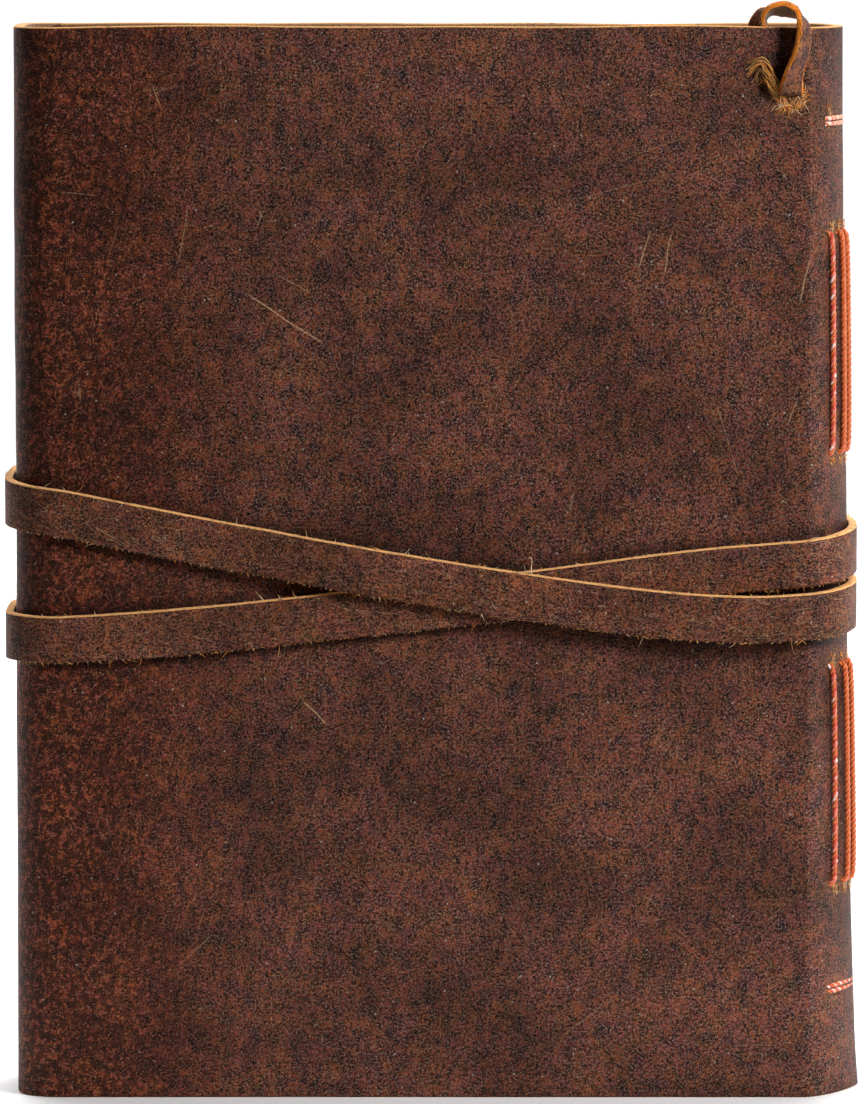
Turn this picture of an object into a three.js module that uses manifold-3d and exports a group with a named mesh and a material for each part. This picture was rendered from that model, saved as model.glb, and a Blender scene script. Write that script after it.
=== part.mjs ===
// Handmade long-stitch journal in a wrap-around leather cover, standing on its tail edge.
// Millimetres. +Z runs from tail to head, the back cover faces -Y, the spine is at +X and
// the fore edge at -X. The origin is at the middle of the base.
import * as THREE from 'three';
import { mergeVertices } from 'three/addons/utils/BufferGeometryUtils.js';
import Module from 'manifold-3d';

const wasm = await Module();
wasm.setup();

// ---- Driving dimensions ------------------------------------------------------------------

const COVER_HEIGHT = 203;
const LEATHER = 2;
const PIECE_GAP = 0.3;

// Section through the book, in a section frame whose y = 0 is half way between back and flap.
const BACK_Y = -15.5;
const FLAP_Y = 15.5;
const FORE_EDGE_X = -79;
const FOLD_RADIUS = 8;
const CREASE_GAP = 0.8;
const FLAP_WIDTH = 45;
const FRONT_COVER_Y = 13.2;
const FRONT_COVER_EDGE_X = -71;

// The spine is a half ellipse in section, and swells a little towards the tail.
const SPINE_X = 71;
const SPINE_BULGE = 7.3;
const TAIL_SWELL = 2;
const FRONT_HINGE_X = 73.2;

// Text block: six folded signatures.
const SIGNATURE_COUNT = 6;
const SIGNATURE_PITCH = 3.7;
const SIGNATURE_THICKNESS = 3.4;
const SIGNATURE_WIDTH = 141.5;
const FIRST_SIGNATURE_Y = -9.6;
const SQUARE = 3;
const FOLD_SWING_ROOM = 1;
const SLIT = 0.4;
const CHANNEL_RADIUS = 0.9;

// Sewing: sewing stations along the spine, head to tail.
const THREAD_RADIUS = 0.55;
const THREAD_HOLE_RADIUS = 0.85;
const STITCH_STATIONS = [164, 122.4, 82.5, 40.9];
const HEAD_KETTLE_Z = 185;
const TAIL_KETTLE_Z = 21;
const KETTLE_PITCH = 1.5;
const THREAD_END_INSET = 3;

// Strap: a flat leather thong wound twice round the closed book.
const STRAP_WIDTH = 9.5;
const STRAP_THICKNESS = 2;
const STRAP_GAP = 0.4;
const STRAP_SPINE_REACH = 9.4;

// Bookmark: a narrow leather thong through a hole near the head of the back cover.
const THONG_WIDTH = 4.2;
const THONG_THICKNESS = 1.4;
const THONG_HOLE = { x: 68.3, z: 188.5, halfWidth: 2.8, halfHeight: 2.6 };

// ---- Values worked out from them ---------------------------------------------------------

const FOLD_X = FORE_EDGE_X + FOLD_RADIUS;
const BACK_FOLD_Y = BACK_Y + FOLD_RADIUS;
const FRONT_FOLD_Y = FLAP_Y - FOLD_RADIUS;
const SPINE_Y = (BACK_Y + FRONT_COVER_Y) / 2;
const SPINE_HALF_DEPTH = (FRONT_COVER_Y - BACK_Y) / 2;
const CREASE_ANGLE = CREASE_GAP / 2 / (FOLD_RADIUS - LEATHER / 2);
const STRAP_BACK_Y = BACK_Y - STRAP_GAP - STRAP_THICKNESS / 2;
const STRAP_OVER_Y = STRAP_BACK_Y - STRAP_THICKNESS - PIECE_GAP;
const STRAP_FLAP_Y = FLAP_Y + STRAP_GAP + STRAP_THICKNESS / 2;
const STRAP_COVER_Y = FRONT_COVER_Y + STRAP_GAP + STRAP_THICKNESS / 2;
const LOWEST_Y = STRAP_OVER_Y - STRAP_THICKNESS / 2;
const HIGHEST_Y = STRAP_FLAP_Y + STRAP_THICKNESS / 2;

// ---- Materials ---------------------------------------------------------------------------

const material = (color, roughness) => new THREE.MeshStandardMaterial({ color, roughness, metalness: 0 });
const cowhide = () => material(0x4a2d24, 0.55);
const strapHide = () => material(0x5a3826, 0.6);
const thongHide = () => material(0xb5622a, 0.7);
const paper = () => material(0xe6dcc4, 0.95);
const waxedThread = () => material(0xd8602a, 0.7);

// ---- Geometry helpers --------------------------------------------------------------------

function toSolid(geometry) {
  const bare = geometry.clone();
  bare.deleteAttribute('normal');
  bare.deleteAttribute('uv');
  const merged = mergeVertices(bare, 1e-4);
  return new wasm.Manifold(new wasm.Mesh({
    numProp: 3,
    vertProperties: new Float32Array(merged.attributes.position.array),
    triVerts: new Uint32Array(merged.index.array),
  }));
}

function toGeometry(solid) {
  const mesh = solid.getMesh();
  const geometry = new THREE.BufferGeometry();
  geometry.setAttribute('position', new THREE.BufferAttribute(new Float32Array(mesh.vertProperties), 3));
  geometry.setIndex(new THREE.BufferAttribute(new Uint32Array(mesh.triVerts), 1));
  geometry.computeVertexNormals();
  return geometry;
}

function cutAll(geometry, cutters) {
  let solid = toSolid(geometry);
  for (const cutter of cutters) {
    solid = solid.subtract(toSolid(cutter));
  }
  return toGeometry(solid);
}

// A section outline in X and Y, raised from z0 to z1.
function raise(outline, z0, z1, curveSegments = 3, steps = 1) {
  const settings = { depth: z1 - z0, bevelEnabled: false, curveSegments, steps };
  return new THREE.ExtrudeGeometry(outline, settings).translate(0, 0, z0);
}

// A round hole along X.
function holeAlongX(x0, x1, y, z, radius) {
  const hole = new THREE.CylinderGeometry(radius, radius, x1 - x0, 8);
  hole.rotateZ(Math.PI / 2);
  hole.translate((x0 + x1) / 2, y, z);
  return hole;
}

// Rounds every inner corner of a polyline with a small arc-like run of three points.
function roundCorners(corners, radius) {
  const points = [corners[0]];
  for (let i = 1; i < corners.length - 1; i += 1) {
    const back = corners[i - 1].clone().sub(corners[i]).setLength(radius);
    const ahead = corners[i + 1].clone().sub(corners[i]).setLength(radius);
    const start = corners[i].clone().add(back);
    const end = corners[i].clone().add(ahead);
    const middle = corners[i].clone().add(back.add(ahead).multiplyScalar(0.29));
    points.push(start, middle, end);
  }
  points.push(corners[corners.length - 1]);
  return points;
}

// A round cord through every given point, with one step between each two points.
function cordThrough(points, radius) {
  const route = new THREE.CatmullRomCurve3(points, false, 'centripetal');
  route.getUtoTmapping = (u) => u;
  const section = new THREE.Shape();
  section.absarc(0, 0, radius, 0, 2 * Math.PI);
  return new THREE.ExtrudeGeometry(section, {
    extrudePath: route,
    steps: points.length - 1,
    curveSegments: 3,
  });
}

// A flat band bent along stations; widthAt gives the direction of its width at a station.
function bendBand(stations, width, thickness, widthAt) {
  const last = stations.length - 1;
  const frames = stations.map((point, i) => {
    const before = stations[Math.max(i - 1, 0)];
    const after = stations[Math.min(i + 1, last)];
    const along = after.clone().sub(before).normalize();
    const across = widthAt(i).clone();
    across.addScaledVector(along, -across.dot(along)).normalize();
    const out = across.clone().cross(along);
    return { point, across, out };
  });
  const band = new THREE.BoxGeometry(1, thickness, width, last, 1, 1);
  const position = band.attributes.position;
  for (let i = 0; i < position.count; i += 1) {
    const frame = frames[Math.round((position.getX(i) + 0.5) * last)];
    const vertex = frame.point.clone();
    vertex.addScaledVector(frame.out, position.getY(i));
    vertex.addScaledVector(frame.across, position.getZ(i));
    position.setXYZ(i, vertex.x, vertex.y, vertex.z);
  }
  band.computeVertexNormals();
  return band;
}

// ---- Spine shape -------------------------------------------------------------------------

const tailSwell = (z) => TAIL_SWELL * (1 - z / COVER_HEIGHT) ** 2;

// How far out the spine is at a given y, on an ellipse that is offset from the outer surface.
function spineSurfaceX(y, bulge, offset) {
  const reach = (y - SPINE_Y) / (SPINE_HALF_DEPTH + offset);
  return SPINE_X + (bulge + offset) * Math.sqrt(Math.max(0, 1 - reach * reach));
}

// The ellipse angle at which the spine section, offset inwards by depth, reaches a given x.
const spineAngleAt = (x, depth) => Math.acos((x - SPINE_X) / (SPINE_BULGE - depth));

// ---- Leather cover -----------------------------------------------------------------------

function makeBackCover() {
  const end = -Math.PI * 0.75 + CREASE_ANGLE;
  const outline = new THREE.Shape();
  outline.moveTo(SPINE_X, BACK_Y);
  outline.absarc(FOLD_X, BACK_FOLD_Y, FOLD_RADIUS, -Math.PI / 2, end, true);
  outline.absarc(FOLD_X, BACK_FOLD_Y, FOLD_RADIUS - LEATHER, end, -Math.PI / 2, false);
  outline.lineTo(SPINE_X, BACK_Y + LEATHER);
  outline.closePath();

  const slot = new THREE.Shape();
  slot.absellipse(0, 0, THONG_HOLE.halfWidth, THONG_HOLE.halfHeight, 0, 2 * Math.PI);
  const punch = new THREE.ExtrudeGeometry(slot, { depth: 4 * LEATHER, bevelEnabled: false, curveSegments: 6 });
  punch.rotateX(Math.PI / 2);
  punch.translate(THONG_HOLE.x, BACK_Y + 3 * LEATHER, THONG_HOLE.z);
  return cutAll(raise(outline, 0, COVER_HEIGHT), [punch]);
}

function makeForeEdgeWall() {
  const low = -Math.PI * 0.75 - CREASE_ANGLE;
  const high = -Math.PI * 1.25 + CREASE_ANGLE;
  const inner = FOLD_RADIUS - LEATHER;
  const outline = new THREE.Shape();
  outline.absarc(FOLD_X, BACK_FOLD_Y, FOLD_RADIUS, low, -Math.PI, true);
  outline.absarc(FOLD_X, FRONT_FOLD_Y, FOLD_RADIUS, -Math.PI, high, true);
  outline.absarc(FOLD_X, FRONT_FOLD_Y, inner, high, -Math.PI, false);
  outline.absarc(FOLD_X, BACK_FOLD_Y, inner, -Math.PI, low, false);
  outline.closePath();
  return raise(outline, 0, COVER_HEIGHT);
}

function makeWrapFlap() {
  const start = Math.PI * 0.75 - CREASE_ANGLE;
  const outline = new THREE.Shape();
  outline.absarc(FOLD_X, FRONT_FOLD_Y, FOLD_RADIUS, start, Math.PI / 2, true);
  outline.lineTo(FORE_EDGE_X + FLAP_WIDTH, FLAP_Y);
  outline.lineTo(FORE_EDGE_X + FLAP_WIDTH, FLAP_Y - LEATHER);
  outline.absarc(FOLD_X, FRONT_FOLD_Y, FOLD_RADIUS - LEATHER, Math.PI / 2, start, false);
  outline.closePath();
  return raise(outline, 0, COVER_HEIGHT);
}

function makeFrontCover() {
  const edge = FRONT_HINGE_X - PIECE_GAP / 2;
  const bulge = SPINE_BULGE;
  const depth = SPINE_HALF_DEPTH;
  const outerEnd = spineAngleAt(edge, 0);
  const innerEnd = spineAngleAt(edge, LEATHER);
  const outline = new THREE.Shape();
  outline.moveTo(FRONT_COVER_EDGE_X, FRONT_COVER_Y);
  outline.absellipse(SPINE_X, SPINE_Y, bulge, depth, Math.PI / 2, outerEnd, true);
  outline.absellipse(SPINE_X, SPINE_Y, bulge - LEATHER, depth - LEATHER, innerEnd, Math.PI / 2, false);
  outline.lineTo(FRONT_COVER_EDGE_X, FRONT_COVER_Y - LEATHER);
  outline.closePath();
  return raise(outline, 0, COVER_HEIGHT);
}

function makeSpineLeather() {
  const edge = FRONT_HINGE_X + PIECE_GAP / 2;
  const backEnd = spineAngleAt(SPINE_X + PIECE_GAP, 0);
  const bulge = SPINE_BULGE;
  const depth = SPINE_HALF_DEPTH;
  const outline = new THREE.Shape();
  outline.absellipse(SPINE_X, SPINE_Y, bulge, depth, -backEnd, spineAngleAt(edge, 0), false);
  outline.absellipse(
    SPINE_X, SPINE_Y, bulge - LEATHER, depth - LEATHER,
    spineAngleAt(edge, LEATHER), -spineAngleAt(SPINE_X + PIECE_GAP, LEATHER), true,
  );
  outline.closePath();
  const shell = raise(outline, 0, COVER_HEIGHT, 10, 5);
  const position = shell.attributes.position;
  for (let i = 0; i < position.count; i += 1) {
    const share = (position.getX(i) - SPINE_X) / SPINE_BULGE;
    position.setX(i, position.getX(i) + share * tailSwell(position.getZ(i)));
  }
  return cutAll(shell, stitchHoles(SPINE_X + 1, SPINE_X + SPINE_BULGE + TAIL_SWELL + 1));
}

// ---- Text block --------------------------------------------------------------------------

const signatureY = (index) => FIRST_SIGNATURE_Y + index * SIGNATURE_PITCH;

// Centre of a signature's rounded fold: as near the inside of the spine as it fits, less
// the room in which the front cover's inner edge swings.
function foldCentreX(index) {
  const radius = SIGNATURE_THICKNESS / 2 + PIECE_GAP;
  let x = Infinity;
  for (let degrees = -85; degrees <= 85; degrees += 5) {
    const angle = THREE.MathUtils.degToRad(degrees);
    const y = signatureY(index) + radius * Math.sin(angle);
    const inside = spineSurfaceX(y, SPINE_BULGE, -LEATHER);
    x = Math.min(x, inside - radius * Math.cos(angle));
  }
  return x - FOLD_SWING_ROOM;
}

// A folded signature in section: two halves that meet in a rounded fold, with a fine slit
// between them that widens where the thread runs.
function makeSignature(index) {
  const half = SIGNATURE_THICKNESS / 2;
  const foldX = foldCentreX(index);
  const edgeX = foldX + half - SIGNATURE_WIDTH;
  const y = signatureY(index);
  const mouth = Math.PI - Math.asin(SLIT / 2 / CHANNEL_RADIUS);
  const outline = new THREE.Shape();
  outline.moveTo(edgeX, y - half);
  outline.absarc(foldX, y, half, -Math.PI / 2, Math.PI / 2, false);
  outline.lineTo(edgeX, y + half);
  outline.lineTo(edgeX, y + SLIT / 2);
  outline.absarc(foldX, y, CHANNEL_RADIUS, mouth, -mouth, true);
  outline.lineTo(edgeX, y - SLIT / 2);
  outline.closePath();
  const block = raise(outline, SQUARE, COVER_HEIGHT - SQUARE, 4);
  const holes = holePositions(index).map((z) => holeAlongX(foldX, foldX + half + 1, y, z, THREAD_HOLE_RADIUS));
  return cutAll(block, holes);
}

// ---- Sewing ------------------------------------------------------------------------------

// The heights at which thread passes through a signature's fold and the leather behind it.
function holePositions(index) {
  const kettles = [HEAD_KETTLE_Z, TAIL_KETTLE_Z].flatMap((z) => [z - KETTLE_PITCH / 2, z + KETTLE_PITCH / 2]);
  return index === 0 ? [...STITCH_STATIONS, ...kettles] : STITCH_STATIONS;
}

function stitchHoles(x0, x1) {
  const holes = [];
  for (let index = 0; index < SIGNATURE_COUNT; index += 1) {
    for (const z of holePositions(index)) {
      holes.push(holeAlongX(x0, x1, signatureY(index), z, THREAD_HOLE_RADIUS));
    }
  }
  return holes;
}

const threadX = (y, z) => spineSurfaceX(y, SPINE_BULGE + tailSwell(z), THREAD_RADIUS + PIECE_GAP);

// One signature's long stitches: inside the fold, out to lie on the spine, in again, twice.
function makeSewingThread(index) {
  const y = signatureY(index);
  const inside = foldCentreX(index);
  const at = (x, z) => new THREE.Vector3(x, y, z);
  const corners = [at(inside, HEAD_KETTLE_Z - THREAD_END_INSET)];
  STITCH_STATIONS.forEach((z, station) => {
    const outward = station % 2 === 0;
    corners.push(at(outward ? inside : threadX(y, z), z));
    corners.push(at(outward ? threadX(y, z) : inside, z));
  });
  corners.push(at(inside, TAIL_KETTLE_Z + THREAD_END_INSET));
  return cordThrough(roundCorners(corners, 1), THREAD_RADIUS);
}

// A linking stitch: out beside the first signature, across the spine, back and in again.
function makeKettleStitch(z) {
  const first = signatureY(0);
  const last = signatureY(SIGNATURE_COUNT - 1);
  const low = z - KETTLE_PITCH / 2;
  const high = z + KETTLE_PITCH / 2;
  const on = (y, height) => new THREE.Vector3(threadX(y, height), y, height);
  const inner = (height) => new THREE.Vector3(foldCentreX(0) + THREAD_RADIUS, first, height);
  const across = [];
  const spans = 5;
  for (let i = 1; i < spans; i += 1) {
    across.push(first + (last - first) * (i / spans));
  }
  const corners = [inner(high), on(first, high)];
  across.forEach((y) => corners.push(on(y, high)));
  corners.push(on(last, high), on(last, low));
  across.reverse().forEach((y) => corners.push(on(y, low)));
  corners.push(on(first, low), inner(low));
  return cordThrough(roundCorners(corners, 0.7), THREAD_RADIUS);
}

// ---- Strap -------------------------------------------------------------------------------

// Half a turn round the spine, from the front to the back, with the height changing evenly.
function roundSpine(zFront, zBack, backY) {
  const stations = [];
  const steps = 12;
  for (let i = 0; i <= steps; i += 1) {
    const share = i / steps;
    const angle = Math.PI * (0.5 - share);
    const depth = i > steps / 2 ? SPINE_Y - backY : STRAP_COVER_Y - SPINE_Y;
    stations.push(new THREE.Vector3(
      SPINE_X + STRAP_SPINE_REACH * Math.cos(angle),
      SPINE_Y + depth * Math.sin(angle),
      zFront + (zBack - zFront) * share,
    ));
  }
  return stations;
}

// Half a turn round the fore edge, from the back to the front.
function roundForeEdge(zBack, zFront) {
  const stations = [];
  const radius = FOLD_RADIUS + STRAP_GAP + STRAP_THICKNESS / 2;
  const steps = 6;
  for (const side of [-1, 1]) {
    for (let i = 0; i <= steps; i += 1) {
      const quarter = (Math.PI / 2) * (i / steps);
      const angle = side < 0 ? -Math.PI / 2 - quarter : Math.PI - quarter;
      const share = (side < 0 ? 0 : 0.5) + i / steps / 2;
      stations.push(new THREE.Vector3(
        FOLD_X + radius * Math.cos(angle),
        (side < 0 ? BACK_FOLD_Y : FRONT_FOLD_Y) + radius * Math.sin(angle),
        zBack + (zFront - zBack) * share,
      ));
    }
  }
  return stations;
}

// The strap's route: from its hidden end on the front, twice round, to its tucked end.
function strapRoute() {
  const back = STRAP_BACK_Y;
  const over = STRAP_OVER_Y;
  const at = (x, y, z) => new THREE.Vector3(x, y, z);
  const flapEdge = FORE_EDGE_X + FLAP_WIDTH;
  return [
    at(-10, STRAP_COVER_Y, 110),
    at(20, STRAP_COVER_Y, 108),
    at(50, STRAP_COVER_Y, 105.5),
    ...roundSpine(103.5, 100.2, back),
    at(51, back, 98.8),
    at(18, back, 94.6),
    at(-18, back, 90.6),
    at(-44, back, 87.8),
    ...roundForeEdge(86, 86.5),
    at(flapEdge, STRAP_FLAP_Y, 87.2),
    at(0, 15.9, 88),
    at(40, 15, 89),
    ...roundSpine(90, 90, (back + over) / 2),
    at(62, over, 90),
    at(51, over, 90.4),
    at(36, over, 91.8),
    at(18, over, 94.4),
    at(0, over, 97.3),
    at(-19, over, 100.5),
    at(-32, (back + over) / 2, 102.9),
    at(-44, back, 105),
    ...roundForeEdge(110.3, 114.2),
    at(-52, STRAP_FLAP_Y, 113.6),
    at(flapEdge, STRAP_FLAP_Y, 112.8),
    at(0, STRAP_FLAP_Y, 111),
    at(20, STRAP_FLAP_Y, 109.6),
  ];
}

function makeStrap() {
  const up = new THREE.Vector3(0, 0, 1);
  return bendBand(strapRoute(), STRAP_WIDTH, STRAP_THICKNESS, () => up);
}

// ---- Bookmark thong ----------------------------------------------------------------------

// Stations from the end inside the hole, out, up over the head edge and down inside. Each
// holds a point and the direction of the thong's width there.
function makeBookmarkThong() {
  const inside = BACK_Y + LEATHER + 1.1;
  const outward = [0, -1, 0];
  const stations = [
    [[68.2, inside, 187.6], [1, 0, 0.3]],
    [[68.3, BACK_Y + LEATHER / 2, 188.5], [1, 0, 0.3]],
    [[68.5, BACK_Y - 1.4, 189.4], [0.9, -0.2, 0.3]],
    [[69.4, BACK_Y - 2.4, 191.4], [0.7, -0.7, 0]],
    [[70.6, BACK_Y - 2.6, 194], outward],
    [[71.3, BACK_Y - 2.6, 197], outward],
    [[71.4, BACK_Y - 2.6, 200], outward],
    [[70.8, BACK_Y - 2.6, 203.2], outward],
    [[69.4, BACK_Y - 1.8, 205.6], outward],
    [[67.4, BACK_Y - 0.4, 206.6], outward],
    [[65.4, BACK_Y + 1.2, 206.2], [-0.4, -0.9, 0]],
    [[63.9, inside + 0.1, 204.6], [-0.8, -0.4, 0]],
    [[63.2, inside, 201.8], [-1, 0, 0]],
    [[62.8, inside, 196], [-1, 0, 0]],
    [[62.2, inside, 178], [-1, 0, 0]],
    [[61.6, inside, 150], [-1, 0, 0]],
    [[61.2, inside, 110], [-1, 0, 0]],
  ];
  const points = stations.map(([point]) => new THREE.Vector3(...point));
  const widths = stations.map(([, width]) => new THREE.Vector3(...width));
  return bendBand(points, THONG_WIDTH, THONG_THICKNESS, (i) => widths[i]);
}

// ---- Assembly ----------------------------------------------------------------------------

const journal = new THREE.Group();
journal.position.y = -(LOWEST_Y + HIGHEST_Y) / 2;

function addPiece(name, geometry, finish) {
  const mesh = new THREE.Mesh(geometry, finish);
  mesh.name = name;
  journal.add(mesh);
}

addPiece('back_cover', makeBackCover(), cowhide());
addPiece('spine_leather', makeSpineLeather(), cowhide());
addPiece('fore_edge_wall', makeForeEdgeWall(), cowhide());
addPiece('wrap_flap', makeWrapFlap(), cowhide());
addPiece('front_cover', makeFrontCover(), cowhide());
for (let index = 0; index < SIGNATURE_COUNT; index += 1) {
  addPiece(`signature_${index + 1}`, makeSignature(index), paper());
  addPiece(`sewing_thread_${index + 1}`, makeSewingThread(index), waxedThread());
}
addPiece('kettle_stitch_head', makeKettleStitch(HEAD_KETTLE_Z), waxedThread());
addPiece('kettle_stitch_tail', makeKettleStitch(TAIL_KETTLE_Z), waxedThread());
addPiece('strap', makeStrap(), strapHide());
addPiece('bookmark_thong', makeBookmarkThong(), thongHide());

export default journal;
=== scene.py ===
import random
from math import atan2, ceil, cos, dist, hypot, pi, radians, sin

import bpy
import numpy as np
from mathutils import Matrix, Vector, noise


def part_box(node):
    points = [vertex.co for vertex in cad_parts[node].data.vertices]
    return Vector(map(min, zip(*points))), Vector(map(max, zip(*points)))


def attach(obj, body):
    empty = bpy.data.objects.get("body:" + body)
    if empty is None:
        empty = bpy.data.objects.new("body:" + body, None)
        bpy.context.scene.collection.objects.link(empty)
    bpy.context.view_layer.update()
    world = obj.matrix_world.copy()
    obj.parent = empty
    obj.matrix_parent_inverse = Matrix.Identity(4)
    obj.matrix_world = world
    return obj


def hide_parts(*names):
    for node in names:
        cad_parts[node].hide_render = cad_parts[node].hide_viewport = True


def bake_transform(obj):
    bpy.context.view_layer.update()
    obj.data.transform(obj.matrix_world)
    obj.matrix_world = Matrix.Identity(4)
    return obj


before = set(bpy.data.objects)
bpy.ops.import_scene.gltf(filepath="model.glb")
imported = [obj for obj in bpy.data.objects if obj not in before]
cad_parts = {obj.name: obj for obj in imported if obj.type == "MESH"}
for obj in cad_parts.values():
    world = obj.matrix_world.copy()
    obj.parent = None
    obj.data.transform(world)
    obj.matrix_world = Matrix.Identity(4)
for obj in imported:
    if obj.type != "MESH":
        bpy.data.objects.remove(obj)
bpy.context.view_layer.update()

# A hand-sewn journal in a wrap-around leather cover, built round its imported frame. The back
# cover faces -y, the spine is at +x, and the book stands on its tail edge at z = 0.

# ---- Driving sizes, in metres ----

MM = 0.001

LEATHER = 2 * MM
FOLD_RADIUS = 8 * MM
EDGE_ROUND = 0.24 * MM

BACK_LOW, BACK_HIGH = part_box("back_cover")
FLAP_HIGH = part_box("wrap_flap")[1]
FRONT_LOW, FRONT_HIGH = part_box("front_cover")
WALL_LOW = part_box("fore_edge_wall")[0]

HEIGHT = BACK_HIGH.z
BACK_Y = BACK_LOW.y
SPINE_X = BACK_HIGH.x
SPINE_DEPTH = FRONT_HIGH.y
TAIL_SWELL = 2 * MM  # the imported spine's own swell at the tail
SPINE_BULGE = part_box("spine_leather")[1].x - SPINE_X - TAIL_SWELL - 0.4 * MM
SHOULDER = 1.38  # power of the spine's back half, 2 for an ellipse
FLARE = 3 * MM  # how much further the spine stands out at the tail
TAIL_FLARE = 0.9 * MM  # and again at the tail edge itself
TAIL_FLARE_REACH = 11 * MM
FOLD_X = WALL_LOW.x + FOLD_RADIUS
BACK_FOLD_Y = BACK_Y + FOLD_RADIUS
FRONT_FOLD_Y = FLAP_HIGH.y - FOLD_RADIUS
SEAM_X = 58 * MM  # where two runs of the hide meet on the back
HINGE_X, HINGE_Y = 76.2 * MM, 11.3 * MM  # where the leather starts to follow the front cover
HINGE_REACH = 7.6 * MM

WAVES = ((1, 0.22 * MM, 46 * MM), (2, 0.07 * MM, 9 * MM))  # seed, height and length
HEAD_WAVE, HEAD_WAVE_LENGTH = 0.35 * MM, 30 * MM
HOLE_DENT, HOLE_DENT_RADIUS = 0.45 * MM, 1.2 * MM

THREAD_RADIUS = 0.55 * MM
STITCH_STATIONS = (164.0 * MM, 122.1 * MM, 81.9 * MM, 40.1 * MM)
STITCH_RISE = 0.35 * MM  # how far a long stitch stands off the spine
FIRST_STITCH_LEAN = 1.2 * MM  # how far the first thread lies towards the back
HEAD_KETTLE_Z, TAIL_KETTLE_Z = 185.1 * MM, 20.1 * MM
KETTLE_PITCH = 1.05 * MM
KETTLE_START = 2 * MM  # how far the kettle stitches start past the first fold
KETTLE_SUNK = (0.42 * MM, 0.78 * MM)  # at the start, and from 8 mm on
FOLD_HALF = 1.7 * MM  # half the thickness of a signature
SHEETS, SHEET = 8, 0.13 * MM
SIGNATURES = [f"signature_{i}" for i in range(1, 7)]

STRAP_WIDTH, STRAP_THICKNESS = 8.8 * MM, 1.6 * MM
STRAP_GAP, STRAP_LIFT = 0.4 * MM, 0.4 * MM
STRAP_ROWS = (80, 118)  # heights between which the strap lies, in millimetres
STRAY_HAIRS = ((18.6, 100.3),)  # roots on the crossing, in millimetres

MARKER_HOLE = (66.9 * MM, 188.5 * MM)
MARKER_WIDTH, MARKER_THICKNESS = 4.2 * MM, 1.15 * MM

CAMERA_DISTANCE, EYE_HEIGHT, CAMERA_SHIFT = 1.25, 0.232, -0.12
VIEW_HEIGHT, VIEW_MIDDLE = 0.2072, 0.10422
LAMPS = (("key", (0.5, -0.42, 0.46), 0.24, 6.3), ("top", (0.0, 0.75, 1.2), 1.4, 34.0))

dice = random.Random(11)
between = dice.uniform


def swell(z):
    """How much further the spine stands out at a height than it does at the head."""
    rest = FLARE * np.clip(1 - z / HEIGHT, 0, 1) ** 1.3
    return rest + TAIL_FLARE * np.exp(-np.maximum(z, 0) / TAIL_FLARE_REACH)


def spine_x(y, z, offset=0.0):
    """The spine's surface at a place across and up it, offset outwards."""
    power = SHOULDER if y < 0 else 2
    reach = min(1.0, abs(y) / (SPINE_DEPTH + offset))
    bulge = SPINE_BULGE + swell(z) + offset
    return SPINE_X + bulge * (1 - reach ** power) ** (1 / power)


def signature_y(index):
    """The middle of a signature's fold, across the spine."""
    low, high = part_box(SIGNATURES[index])
    return (low.y + high.y) / 2


def fold_x(index):
    """The centre of the round of a signature's fold."""
    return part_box(SIGNATURES[index])[1].x - FOLD_HALF


# ---- Meshes ----

def new_object(name, data):
    """An object in the scene that shows a mesh, a lamp or a camera."""
    made = bpy.data.objects.new(name, data)
    bpy.context.scene.collection.objects.link(made)
    return made


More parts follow.
